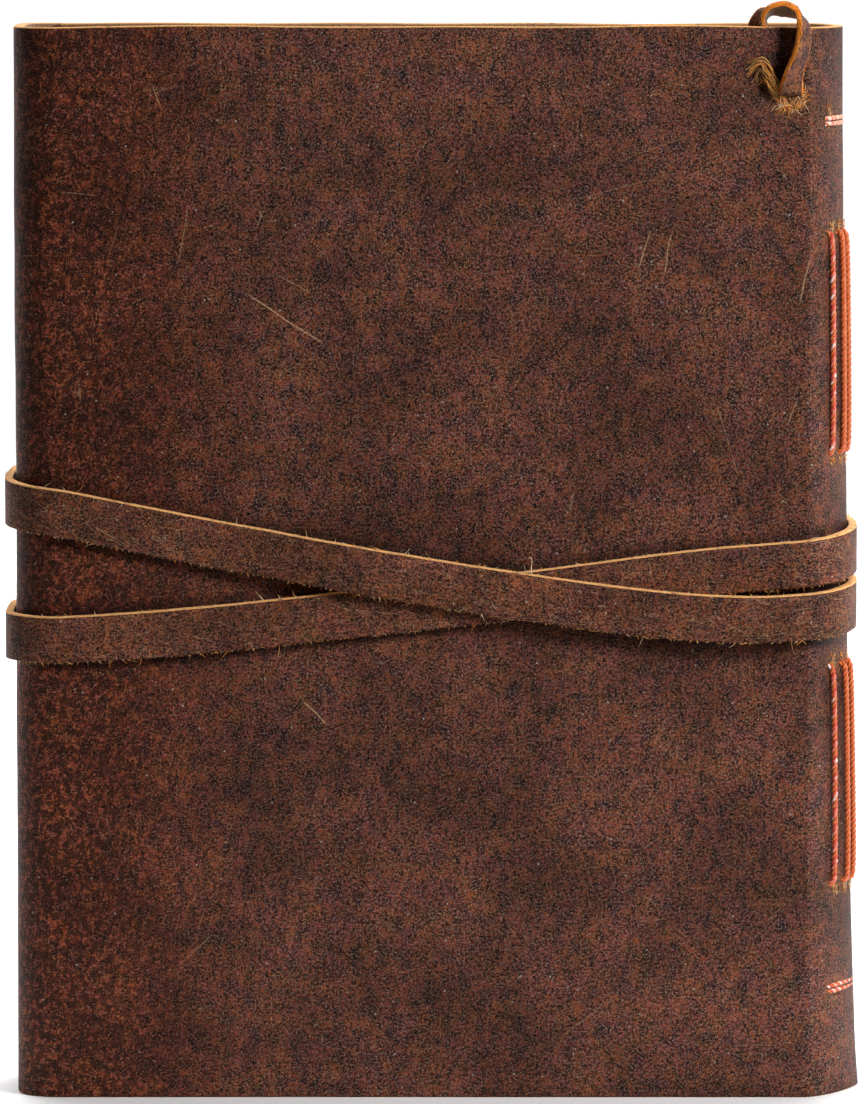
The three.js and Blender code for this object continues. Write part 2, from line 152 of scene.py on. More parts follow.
class Builder:
    """Gathers tubes, each a run of closed rings with flat ends, into one mesh."""

    def __init__(self):
        self.points, self.faces, self.uvs, self.zones, self.ends = [], [], [], [], []
        self.count = 0

    def add(self, rings, u, v, zones, end_zone=0):
        """rings is stations x ring points x 3; u has one value a station, v one a ring point
        and one more, and zones one a ring segment."""
        rings = np.asarray(rings, float)
        stations, ring = rings.shape[:2]
        self.points.append(rings.reshape(-1, 3))
        zones = np.broadcast_to(np.asarray(zones), ring)
        i, j = np.meshgrid(np.arange(stations - 1), np.arange(ring), indexing="ij")
        i, j = i.ravel(), j.ravel()
        k = (j + 1) % ring
        quads = np.stack([i * ring + j, (i + 1) * ring + j, (i + 1) * ring + k, i * ring + k], 1)
        u, v = np.asarray(u, float), np.asarray(v, float)
        corners = ((i, j), (i + 1, j), (i + 1, j + 1), (i, j + 1))
        self.faces.append(quads + self.count)
        self.uvs.append(np.stack([np.stack([u[a], v[b]], 1) for a, b in corners], 1))
        self.zones.append(zones[j])
        self._cap(0, ring, u[0], v, end_zone, flip=False)
        self._cap((stations - 1) * ring, ring, u[-1], v, end_zone, flip=True)
        self.count += stations * ring

    def _cap(self, first, ring, u, v, zone, flip):
        """Closes one end of a tube with a strip of quads across the ring."""
        j = np.arange(ring // 2 - 1)
        quads = np.stack([j, j + 1, ring - 2 - j, ring - 1 - j], 1)
        uv = np.stack([np.full(quads.shape, u), v[quads]], 2)
        uv[:, 2:, 0] += LEATHER
        uv[:, 2:, 1] = uv[:, 1::-1, 1]
        if flip:
            quads, uv = quads[:, ::-1], uv[:, ::-1]
        self.ends.append(np.arange(first, first + ring) + self.count)
        self.faces.append(quads + first + self.count)
        self.uvs.append(uv)
        self.zones.append(np.full(len(quads), zone))

    def finish(self, name, materials):
        """Makes the object; the rims of the flat ends are sharp edges."""
        mesh = bpy.data.meshes.new(name)
        faces = np.concatenate(self.faces).tolist()
        mesh.from_pydata(np.concatenate(self.points).tolist(), [], faces)
        layer = mesh.uv_layers.new(name="UVMap")
        layer.data.foreach_set("uv", np.concatenate(self.uvs).astype(np.float32).ravel())
        for material in materials:
            mesh.materials.append(material)
        zones = np.concatenate(self.zones).astype(np.int32)
        mesh.polygons.foreach_set("material_index", zones)
        mesh.polygons.foreach_set("use_smooth", np.ones(len(zones), bool))
        end_of = np.full(self.count, -1)
        for number, members in enumerate(self.ends):
            end_of[members] = number
        edges = np.empty(len(mesh.edges) * 2, np.int32)
        mesh.edges.foreach_get("vertices", edges)
        tips = end_of[edges.reshape(-1, 2)]
        sharp = mesh.attributes.new("sharp_edge", "BOOLEAN", "EDGE")
        sharp.data.foreach_set("value", (tips[:, 0] >= 0) & (tips[:, 0] == tips[:, 1]))
        mesh.update()
        return new_object(name, mesh)


def settle(piece, body, slot, *nodes):
    """A piece rides on a body and may stand for CAD nodes, which are hidden. Its slot is not used.
    """
    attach(piece, body)
    if nodes:
        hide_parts(*nodes)


def unit(vectors):
    """The vectors at length one."""
    vectors = np.asarray(vectors, float)
    return vectors / np.linalg.norm(vectors, axis=-1, keepdims=True)


def smooth_route(points, spacing):
    """A centripetal Catmull-Rom curve through the points, sampled about evenly. Gives the
    samples and, for each, its place among the points as a number."""
    points = np.asarray(points, float)
    padded = np.vstack([2 * points[0] - points[1], points, 2 * points[-1] - points[-2]])
    samples, places = [], []
    for i in range(len(points) - 1):
        p = padded[i:i + 4]
        gaps = np.sqrt(np.linalg.norm(np.diff(p, axis=0), axis=1))
        knots = np.concatenate([[0], np.cumsum(gaps)])
        steps = max(1, int(round(np.linalg.norm(p[2] - p[1]) / spacing)))
        for k in range(steps):
            t = knots[1] + (knots[2] - knots[1]) * k / steps
            level = p
            for spans in (((0, 1), (1, 2), (2, 3)), ((0, 2), (1, 3)), ((1, 2),)):
                level = [((knots[n] - t) * level[j] + (t - knots[m]) * level[j + 1])
                         / (knots[n] - knots[m]) for j, (m, n) in enumerate(spans)]
            samples.append(level[0])
            places.append(i + k / steps)
    samples.append(points[-1])
    places.append(len(points) - 1.0)
    return np.array(samples), np.array(places)


def round_corners(corners, radius):
    """Corners of a polyline softened by short arcs."""
    corners = [np.asarray(c, float) for c in corners]
    points = [corners[0]]
    for before, corner, after in zip(corners, corners[1:], corners[2:]):
        back, ahead = unit(before - corner) * radius, unit(after - corner) * radius
        points += [corner + back, corner + 0.29 * (back + ahead), corner + ahead]
    return points + [corners[-1]]


def lengths_along(points):
    """The length from the first point to each."""
    return np.concatenate([[0], np.cumsum(np.linalg.norm(np.diff(points, axis=0), axis=1))])


def frames_along(points, across):
    """Unit vectors along, across and out of a band that follows the points."""
    along = unit(np.gradient(points, axis=0))
    across = unit(across - along * (across * along).sum(1)[:, None])
    return along, across, np.cross(across, along)


def transported(points):
    """Two unit vectors square to the route, carried along it without twisting."""
    along = unit(np.gradient(np.asarray(points), axis=0))
    first = np.cross(along[0], (0.0, 0.0, 1.0))
    if np.linalg.norm(first) < 0.1:
        first = np.cross(along[0], (0.0, 1.0, 0.0))
    normals = [unit(first)]
    for direction in along[1:]:
        normals.append(unit(normals[-1] - direction * (normals[-1] @ direction)))
    normals = np.array(normals)
    return normals, np.cross(along, normals)


def circles(centres, normals, binormals, radii, sides):
    """A ring of points round each centre, in the plane of its two vectors."""
    angle = (np.arange(sides) * 2 * pi / sides)[None, :, None]
    around = normals[:, None, :] * np.cos(angle) + binormals[:, None, :] * np.sin(angle)
    return centres[:, None, :] + radii[:, None, None] * around


def rough(seed, *coordinates):
    """Smooth noise, about -1 to 1, at each place given."""
    shape = np.broadcast(*coordinates).shape
    flat = [np.broadcast_to(c, shape).ravel() for c in coordinates]
    while len(flat) < 2:
        flat.append(np.zeros(len(flat[0])))
    values = [noise.noise(Vector((a, b, seed * 7.3))) for a, b in zip(*flat)]
    return np.array(values).reshape(shape)


def off_back(places):
    """Places given in millimetres as x, depth below the back cover's face, and height."""
    return [(x * MM, BACK_Y + y * MM, z * MM) for x, y, z in places]


# ---- Materials ----

class Finish:
    """A material, with short calls for the nodes that the finishes share."""

    def __init__(self, name, roughness=0.6, specular=0.5, sheen=0.0):
        self.material = bpy.data.materials.new(name)
        self.material.use_nodes = True
        self.tree = self.material.node_tree
        self.shader = self.tree.nodes["Principled BSDF"].inputs
        self.shader["Roughness"].default_value = roughness
        self.shader["Specular IOR Level"].default_value = specular
        self.shader["Sheen Weight"].default_value = sheen
        self.uv = self.node("UVMap").outputs["UV"]

    def node(self, kind, **settings):
        made = self.tree.nodes.new("ShaderNode" + kind)
        for key, value in settings.items():
            setattr(made, key, value)
        return made

    def put(self, socket, value):
        """Links a socket, or gives it a value."""
        if isinstance(value, bpy.types.NodeSocket):
            self.tree.links.new(value, socket)
        else:
            socket.default_value = value

    def fed(self, made, *values):
        """The first output of a node whose inputs take the values in order."""
        for socket, value in zip(made.inputs, values):
            self.put(socket, value)
        return made.outputs[0]

    def wired(self, made, **values):
        """The first output of a node whose named inputs take the values."""
        for name, value in values.items():
            self.put(made.inputs[name], value)
        return made.outputs[0]

    def mm(self, stretch=(1, 1), turn=0.0, shift=(0, 0)):
        """The surface's own coordinates in millimetres, turned, shifted and stretched."""
        to_mm = self.wired(self.node("Mapping"), Vector=self.uv, Scale=(1000, 1000, 1000),
                           Rotation=(0, 0, turn))
        return self.wired(self.node("Mapping"), Vector=to_mm, Location=(*shift, 0),
                          Scale=(*stretch, 1))

    def noise(self, vector, scale, detail=3.0, roughness=0.55, distortion=0.0):
        return self.wired(self.node("TexNoise"), Vector=vector, Scale=scale, Detail=detail,
                          Roughness=roughness, Distortion=distortion)

    def cells(self, vector, scale, output="Distance"):
        made = self.node("TexVoronoi")
        self.wired(made, Vector=vector, Scale=scale)
        return made.outputs[output]

    def parts(self, vector):
        """The x, y and z of a vector."""
        made = self.node("SeparateXYZ")
        self.fed(made, vector)
        return made.outputs

    def math(self, operation, *values):
        return self.fed(self.node("Math", operation=operation), *values)

    def times(self, a, b):
        return self.math("MULTIPLY", a, b)

    def off(self, value, middle):
        """The distance of a value from a middle."""
        return self.math("ABSOLUTE", self.math("SUBTRACT", value, middle))

    def total(self, *weighed):
        """The sum of values, each given with its weight."""
        products = [self.times(value, weight) for value, weight in weighed]
        summed = products[0]
        for product in products[1:]:
            summed = self.math("ADD", summed, product)
        return summed

    def band(self, value, low, high, out_low=0.0, out_high=1.0):
        """Maps low..high on to out_low..out_high, held at the ends."""
        made = self.node("MapRange", interpolation_type="SMOOTHSTEP")
        return self.fed(made, value, low, high, out_low, out_high)

    def ramp(self, value, *stops):
        made = self.node("ValToRGB")
        elements = made.color_ramp.elements
        while len(elements) < len(stops):
            elements.new(0.5)
        for element, (position, colour) in zip(elements, stops):
            element.position = position
            element.color = (*colour, 1)
        return self.fed(made, value)

    def mix(self, share, a, b, kind="MIX"):
        made = self.node("Mix", data_type="RGBA", blend_type=kind)
        self.put(made.inputs[0], share)
        for socket, value in ((made.inputs[6], a), (made.inputs[7], b)):
            self.put(socket, (*value, 1) if isinstance(value, tuple) else value)
        return made.outputs[2]

    def attribute(self, name):
        return self.node("Attribute", attribute_name=name).outputs["Fac"]

    def over(self, base, value, reach, colour):
        """A colour laid over the base where a value passes through a band."""
        return self.mix(self.band(value, *reach), base, colour)

    def colour(self, value):
        self.put(self.shader["Base Color"], value)

    def bump(self, height, distance, strength=1.0):
        made = self.wired(self.node("Bump"), Strength=strength, Distance=distance, Height=height)
        self.put(self.shader["Normal"], made)


WORN_X, SHADED_X = -78, 74  # places on the back cover, in millimetres
INK = (0.006, 0.005, 0.0075)  # blue-black blotches
PORE = (0.004, 0.003, 0.004)
PRICK = (0.4, 0.34, 0.3)
SCRATCH = (0.5, 0.3, 0.17)
FOLD_RED, FOLD_FLECK = (1.34, 0.98, 0.78), (0.016, 0.005, 0.003)
HOLE_DARK, HOLE_FRAY = (0.004, 0.003, 0.003), (0.42, 0.17, 0.05)
# painted shade: the colour laid on the back cover along and beside the wound strap
STRAP_SHADE = (0.008, 0.003, 0.002)


def shaded(colour, share):
    """A colour made darker or paler."""
    return tuple(min(1.0, share * c) for c in colour)


def hair_scratches(finish, turn, shift, size, share):
    """A mask of sparse thin lines that wander along one direction."""
    line = finish.noise(finish.mm((size, size * 0.16), turn, shift), 1.0, 1.5, 0.5, 0.4)
    thin = finish.band(finish.off(line, 0.5), 0.0, 0.006, 1.0, 0.0)
    patch = finish.noise(finish.mm((0.07, 0.07), 0, shift), 1.0, 2.0)
    return finish.times(thin, finish.band(patch, 1 - share, 1 - share + 0.06))


def stroke(finish, start, end, width):
    """A mask of one thin scratch between two places on the surface, in millimetres."""
    length = dist(start, end)
    turn = atan2(end[1] - start[1], end[0] - start[0])
    place = finish.node("Mapping", vector_type="TEXTURE")
    finish.wired(place, Vector=finish.mm(), Location=(*start, 0), Rotation=(0, 0, turn))
    along, aside = finish.parts(place.outputs[0])[:2]
    sway = finish.noise(finish.mm(shift=(start[1], 3)), 0.1, 1.0)
    aside = finish.math("MULTIPLY_ADD", finish.math("SUBTRACT", sway, 0.5), 1.6, aside)
    line = finish.band(finish.math("ABSOLUTE", aside), 0.25 * width, width, 1.0, 0.0)
    fade = finish.band(finish.off(along, length / 2), 0.3 * length, 0.5 * length, 1.0, 0.0)
    return finish.times(line, fade)


def worn_fore_edge(finish, base, along):
    """The cover's leather rubbed redder and flecked beside its fore-edge fold."""
    fold = along_back(WORN_X)
    worn = finish.band(along, fold, fold + 44, 1.0, 0.0)
    worn = finish.times(worn, finish.band(along, fold - 62, fold - 26))
    flecks = finish.noise(finish.mm((1.1, 0.8), 0.2, (31, 5)), 0.75, 3.0, 0.72)
    base = finish.mix(worn, base, FOLD_RED, "MULTIPLY")
    flecked = finish.times(worn, finish.band(flecks, 0.46, 0.56, 0.78, 0.0))
    return finish.mix(flecked, base, FOLD_FLECK)


def grain_finish(name, palette, shift, streaks, strokes=(), cover=False, stretch=(1, 1)):
    """Waxed pull-up hide: clouded colour, rust and blue-black speckle, pale pricks, scratches.
    The cover also has its worn fold, its holes with painted shade and scuffs, and painted shade
    along and beside the strap. The palette is dark, middle, light, rust and painted glints, and
    shift sets where the noise starts."""
    dark, middle, light, rust, painted_glints = palette
    finish = Finish(name, specular=0.12)
    a, b = shift

    def clouds(shift, scale, detail, roughness, stretch=(1, 1), turn=0.0):
        return finish.noise(finish.mm(stretch, turn, shift), scale, detail, roughness)

    speck = clouds((a, b), 1.55, 2.0, 0.75)
    fine = clouds((b, a), 2.7, 1.0, 0.6)
    mottle = clouds((a, b), 0.4, 4.0, 0.7, stretch)
    tone = finish.total((mottle, 0.36), (speck, 0.4), (fine, 0.24))
    base = finish.ramp(tone, (0.435, dark), (0.485, middle), (0.535, light), (0.585, rust))
    warm = finish.band(clouds((9, b), 0.11, 3.0, 0.6), 0.38, 0.62)
    red = finish.band(clouds((b, 31), 1.5, 3.0, 0.75), 0.5, 0.62)
    red = finish.times(red, finish.math("MULTIPLY_ADD", warm, 0.55, 0.25))
    base = finish.mix(red, base, rust)

    blot = clouds((57, a), 0.27, 5.0, 0.72, (1.25, 0.75), 0.1)
    blot = finish.total((blot, 0.72), (speck, 0.28))
    base = finish.over(base, blot, (0.515, 0.6, 0.0, 0.8), INK)
    pores = finish.cells(finish.mm((1.0, 0.55), 0.15, (b, 7)), 0.62)
    base = finish.over(base, pores, (0.1, 0.3, 0.55, 0.0), PORE)
    # painted glints: pale flecks in the colour, at two sizes, that stand for specular highlights
    base = finish.over(base, clouds((23, a), 2.3, 1.0, 0.7), (0.53, 0.63, 0.0, 0.58), painted_glints)
    base = finish.over(base, clouds((3, a), 2.7, 2.0, 0.8), (0.585, 0.66, 0.0, 0.85),
                       shaded(painted_glints, 1.5))
    tint = finish.ramp(clouds((61, a), 0.17, 3.0, 0.7),
                       (0.42, (0.99, 0.92, 1.05)), (0.58, (1.05, 1.03, 0.86)))
    base = finish.mix(1.0, base, tint, "MULTIPLY")

    value = finish.band(clouds((a, b), 0.045, 3.0, 0.6), 0.32, 0.68, 0.74, 1.32)
    if cover:
        along = finish.parts(finish.mm())[0]
        spine = along_back(SHADED_X)
        value = finish.times(value, finish.band(along, spine, spine + 7, 1.0, 0.84))
    base = finish.wired(finish.node("HueSaturation"), Color=base, Value=value)
    if cover:
        base = worn_fore_edge(finish, base, along)

    spots = finish.mm(shift=(13, b))
    pricks = finish.band(finish.cells(spots, 0.42), 0.05, 0.11, 1.0, 0.0)
    pale = finish.band(finish.cells(spots, 0.42, "Color"), 0.6, 0.64)
    pale = finish.times(pricks, pale)
    base = finish.mix(finish.times(pale, 0.7), base, PRICK)
    scratch = hair_scratches(finish, 0.25, (3, b), 0.5, 0.4)
    for turn, size, share in streaks:
        lines = hair_scratches(finish, turn, (share * 90, a), size, share)
        scratch = finish.math("MAXIMUM", scratch, lines)
    scratch = finish.times(scratch, 0.45)
    for start, end, width, strength in strokes:
        mark = finish.times(stroke(finish, start, end, width), strength)
        scratch = finish.math("MAXIMUM", scratch, mark)
    scratch = finish.times(scratch, finish.band(fine, 0.36, 0.52, 0.35, 1.0))
    base = finish.mix(scratch, base, SCRATCH)
    if cover:
        base = finish.mix(finish.attribute("hole_shade"), base, HOLE_DARK)
        # painted shade along and beside the wound strap
        base = finish.mix(finish.times(finish.attribute("strap_shade"), 0.58), base, STRAP_SHADE)
        fray = finish.times(finish.attribute("scuff"), finish.band(speck, 0.42, 0.6))
        base = finish.mix(fray, base, HOLE_FRAY)

    finish.colour(base)
    shine = finish.band(finish.math("ADD", speck, pale), 0.35, 0.75, 0.46, 0.66)
    finish.put(finish.shader["Roughness"], shine)
    height = finish.total((speck, 0.7), (fine, 0.45))
    height = finish.math("SUBTRACT", height, finish.band(pores, 0.05, 0.3, 0.3, 0.0))
    finish.bump(height, 0.2 * MM, 0.9)
    return finish.material


def layered(finish, grain, stops, blotch, fade, stain, bump):
    """A finish coloured and bumped by a fine grain, and stained in blotches."""
    grain, blotch = (finish.noise(finish.mm(layer[0]), *layer[1:]) for layer in (grain, blotch))
    finish.colour(finish.over(finish.ramp(grain, *stops), blotch, fade, stain))
    finish.bump(grain, *bump)
    return finish.material


def cut_edge_finish(name, tan):
    """The cut edge of the hide: packed tan fibres, stained in clumps."""
    return layered(Finish(name, roughness=0.85, specular=0.2, sheen=0.1),
                   ((0.6, 3.0), 1.6, 4.0, 0.7),
                   ((0.32, shaded(tan, 0.45)), (0.5, tan), (0.68, shaded(tan, 1.35))),
                   ((1, 1), 0.35, 3.0, 0.6), (0.56, 0.72, 0.0, 0.65), (0.12, 0.05, 0.025),
                   (0.2 * MM, 0.8))


def flesh_finish():
    """The napped flesh side of the hide."""
    return layered(Finish("flesh_side", roughness=0.95, specular=0.12, sheen=0.25),
                   ((1, 1), 1.8, 4.0, 0.7),
                   ((0.3, (0.1, 0.05, 0.028)), (0.5, (0.2, 0.105, 0.058)),
                    (0.7, (0.31, 0.18, 0.1))),
                   ((0.5, 1), 0.12, 3.0, 0.6), (0.45, 0.65, 0.0, 0.4), (0.13, 0.065, 0.035),
                   (0.25 * MM, 0.7))


def thread_finish(name, dark, middle, pale, wear_scale=0.45, wear_from=0.64):
    """Waxed linen strand: fine fibres along it, worn paler in places."""
    return layered(Finish(name, roughness=0.5, specular=0.45, sheen=0.2),
                   ((0.7, 6.0), 1.4, 3.0, 0.7), ((0.3, dark), (0.5, middle), (0.75, pale)),
                   ((1, 0.5), wear_scale, 2.0, 0.6), (wear_from, wear_from + 0.06, 0.0, 0.8),
                   pale, (0.12 * MM, 0.8))


def paper_finish(name, tone):
    """Soft cream rag paper with small fibres and faint blotches."""
    return layered(Finish(name, roughness=0.95, specular=0.15), ((1, 1), 1.1, 4.0, 0.6),
                   ((0.3, shaded(tone, 0.82)), (0.5, tone), (0.7, shaded(tone, 1.05))),
                   ((1, 1), 0.05, 3.0, 0.6), (0.5, 0.7, 0.0, 0.35), (0.62, 0.5, 0.33),
                   (0.1 * MM, 0.5))


# ---- The hide: one sheet, in three runs that meet unseen ----

def straight(x0, y0, x1, y1, spacing):
    """Rows of x, y and the outward normal along a straight stretch of an outline."""
    length = hypot(x1 - x0, y1 - y0)
    share = np.linspace(0, 1, max(1, int(ceil(length / spacing))) + 1)
    ones = np.ones(len(share))
    x, y = x0 + (x1 - x0) * share, y0 + (y1 - y0) * share
    return np.stack([x, y, ones * (y1 - y0) / length, ones * (x0 - x1) / length], 1)


def curved(x, y, reach_x, reach_y, start, end, spacing):
    """The same along a stretch of an ellipse."""
    steps = max(2, int(ceil(abs(end - start) * max(reach_x, reach_y) / spacing)))
    angle = np.linspace(start, end, steps + 1)
    normal = unit(np.stack([np.cos(angle) / reach_x, np.sin(angle) / reach_y], 1))
    return np.stack([x + reach_x * np.cos(angle), y + reach_y * np.sin(angle), *normal.T], 1)


def shoulder(x, y, reach_x, reach_y, power, steps):
    """The spine's flatter back half: a quarter of a superellipse, from the back cover out."""
    angle = np.linspace(-pi / 2, 0, steps + 1)
    out = np.cos(angle).clip(0) ** (2 / power), (-np.sin(angle)) ** (2 / power)
    slopes = [out[0] ** (power - 1) / reach_x, -out[1] ** (power - 1) / reach_y]
    normal = unit(np.stack(slopes, 1))
    return np.stack([x + reach_x * out[0], y - reach_y * out[1], *normal.T], 1)


def hide_outline():
    """The hide's outer outline in plan, from the flap's edge to the front cover's edge. Each
    row is x, y, the outward normal's x and y, and the length along the outline."""
    wide, close, fine = 2.5 * MM, 1 * MM, 0.7 * MM
    quarter = pi / 2
    front_bend = SPINE_X - 12 * MM
    runs = [
        straight(FLAP_HIGH.x, FLAP_HIGH.y, FOLD_X, FLAP_HIGH.y, wide),
        curved(FOLD_X, FRONT_FOLD_Y, FOLD_RADIUS, FOLD_RADIUS, quarter, 2 * quarter, close),
        straight(WALL_LOW.x, FRONT_FOLD_Y, WALL_LOW.x, 0, wide),
        straight(WALL_LOW.x, 0, WALL_LOW.x, BACK_FOLD_Y, wide),
        curved(FOLD_X, BACK_FOLD_Y, FOLD_RADIUS, FOLD_RADIUS, 2 * quarter, 3 * quarter, close),
        straight(FOLD_X, BACK_Y, SEAM_X, BACK_Y, wide),
        straight(SEAM_X, BACK_Y, SPINE_X, BACK_Y, close),
        shoulder(SPINE_X, 0, SPINE_BULGE, SPINE_DEPTH, SHOULDER, 26),
        curved(SPINE_X, 0, SPINE_BULGE, SPINE_DEPTH, 0, quarter, fine),
        straight(SPINE_X, SPINE_DEPTH, front_bend, SPINE_DEPTH, close),
        straight(front_bend, SPINE_DEPTH, FRONT_LOW.x, SPINE_DEPTH, wide),
    ]
    rows = np.vstack([runs[0]] + [run[1:] for run in runs[1:]])
    return np.column_stack([rows, lengths_along(rows[:, :2])])


OUTLINE = hide_outline()


def along_back(x):
    """The length along the outline of a place on the back cover, both in millimetres."""
    back = OUTLINE[OUTLINE[:, 1] < BACK_Y + 0.01 * MM]
    return np.interp(x * MM, back[:, 0], back[:, 4]) / MM


# Each scratch on the back cover: its start and end as x and height, its width, its strength.
SCRATCHES = (
    ((-36, 153.5), (-19.5, 142.6), 0.2, 0.9), ((-30.5, 156.6), (-22, 152.8), 0.13, 0.45),
    ((-47.8, 158), (-45.6, 170), 0.13, 0.5), ((-52.5, 192), (-50.6, 187.5), 0.16, 0.5),
    ((24.5, 170.5), (43, 174.5), 0.1, 0.35), ((31, 176), (49.5, 183), 0.1, 0.3),
    ((38.6, 156.6), (41.4, 165), 0.17, 0.7), ((43.6, 155.6), (45.4, 164.8), 0.17, 0.6),
    ((69.6, 150.5), (71.4, 160), 0.2, 0.6), ((-25, 76), (-19.6, 70.9), 0.2, 0.75),
    ((-47, 26), (-41.2, 31.8), 0.13, 0.4), ((24.4, 11), (33.6, 18.6), 0.13, 0.35),
    ((-70, 172), (-62.6, 171.2), 0.13, 0.4), ((53, 133), (58, 118), 0.12, 0.35),
    ((55, 97.5), (62, 92), 0.12, 0.35), ((66.8, 128), (69, 133.5), 0.18, 0.5),
)
STROKES = tuple(
    ((along_back(a[0]), a[1]), (along_back(b[0]), b[1]), width, strength)
    for a, b, width, strength in SCRATCHES
)
COVER_GRAIN = grain_finish(
    "cover_grain",
    ((0.003, 0.002, 0.002), (0.034, 0.01, 0.006), (0.11, 0.033, 0.02),
     (0.19, 0.046, 0.018), (0.195, 0.12, 0.092)),
    (5, 17), ((1.35, 0.55, 0.37), (0.8, 0.4, 0.34)), STROKES, cover=True, stretch=(1.2, 0.8),
)
STRAP_GRAIN = grain_finish(
    "strap_grain",
    ((0.003, 0.002, 0.002), (0.038, 0.011, 0.006), (0.089, 0.027, 0.017),
     (0.25, 0.064, 0.021), (0.22, 0.115, 0.079)),
    (71, 40), ((1.5, 0.7, 0.75), (1.25, 0.55, 0.7), (1.8, 0.5, 0.6)), stretch=(1.4, 0.7),
)
MARKER_GRAIN = grain_finish(
    "thong_grain",
    ((0.01, 0.005, 0.004), (0.06, 0.02, 0.011), (0.18, 0.075, 0.038),
     (0.26, 0.08, 0.022), (0.15, 0.08, 0.06)),
    (90, 12), ((0.2, 0.8, 0.45),),
)
CUT_EDGE = cut_edge_finish("cut_edge", (0.62, 0.3, 0.085))
STRAP_EDGE = cut_edge_finish("strap_edge", (0.86, 0.42, 0.145))
MARKER_EDGE = cut_edge_finish("thong_edge", (0.98, 0.27, 0.02))
FLESH = flesh_finish()
FIBRES = (
    cut_edge_finish("tan_fibre", (0.8, 0.42, 0.12)),
    cut_edge_finish("orange_fibre", (0.92, 0.32, 0.045)),
    cut_edge_finish("pale_fibre", (0.92, 0.7, 0.42)),
    cut_edge_finish("dark_fibre", (0.2, 0.07, 0.02)),
)
ORANGE = thread_finish("orange_strand", (0.26, 0.03, 0.006), (0.62, 0.105, 0.01),
                       (0.86, 0.3, 0.08))
RED = thread_finish("red_strand", (0.28, 0.012, 0.006), (0.62, 0.04, 0.01), (0.86, 0.26, 0.12))
WORN = thread_finish("worn_strand", (0.45, 0.03, 0.012), (0.7, 0.1, 0.03), (0.95, 0.8, 0.72),
                     0.28, 0.52)
BLUSH = thread_finish("blush_strand", (0.5, 0.1, 0.05), (0.84, 0.4, 0.27), (0.95, 0.8, 0.7),
                      0.5, 0.5)
PAPER = paper_finish("page_paper", (0.8, 0.72, 0.56))
LEAF_EDGE = paper_finish("page_edge", (0.7, 0.6, 0.44))


def hole_places():
    """Where thread passes through the hide, as length along the outline and height."""
    spine = OUTLINE[OUTLINE[:, 0] > SPINE_X]
    along = [np.interp(signature_y(index), spine[:, 1], spine[:, 4])
             for index in range(len(SIGNATURES))]
    places = [(a, z) for a in along for z in STITCH_STATIONS]
    return places + [(a, z) for a in (along[0], along[-1]) for z in (HEAD_KETTLE_Z, TAIL_KETTLE_Z)]


HOLES = hole_places()


def near_holes(along, z, places, radius):
    """1 at a hole, falling to 0 a few radii away."""
    field = np.zeros(np.broadcast(along, z).shape)
    for hole_along, hole_z in places:
        square = (along - hole_along) ** 2 + (z - hole_z) ** 2
        field = np.maximum(field, np.exp(-square / (2 * radius * radius)))
    return field


def hide_heights():
    """Heights of the rows of the hide's mesh, closer together at the holes and the strap."""
    rows = set(np.round(np.linspace(EDGE_ROUND, HEIGHT - EDGE_ROUND, 82), 6))
    for z in (*STITCH_STATIONS, HEAD_KETTLE_Z, TAIL_KETTLE_Z):
        rows |= set(np.round(z + np.linspace(-3, 3, 13) * MM, 6))
    rows |= set(np.round(np.linspace(*STRAP_ROWS, STRAP_ROWS[1] - STRAP_ROWS[0] + 1) * MM, 6))
    rows = sorted(rows)
    kept = [rows[0]]
    for z in rows[1:]:
        if z - kept[-1] > 0.3 * MM:
            kept.append(z)
    return np.array(kept)


def hide_ring():
    """The hide's section up its height: depth below the outer face, height and zone. The
    zones are the outer face, the cut edge and the inner face."""
    heights = hide_heights()
    corner = EDGE_ROUND * 0.3
    depths = (corner, 0.3 * LEATHER, 0.7 * LEATHER, LEATHER - corner)
    lift = (corner, 0.0, 0.0, corner)
    ring = [(depths[1], 0.0, 1), (depths[0], corner, 0)]
    ring += [(0.0, z, 0) for z in heights]
    ring[-1] = (0.0, heights[-1], 1)
    ring += [(d, HEIGHT - e, 1) for d, e in zip(depths, lift)]
    ring += [(LEATHER, z, 2) for z in heights[::-1]]
    ring[-1] = (LEATHER, heights[0], 1)
    ring += [(depths[3], corner, 1), (depths[2], 0.0, 1)]
    return np.array(ring)


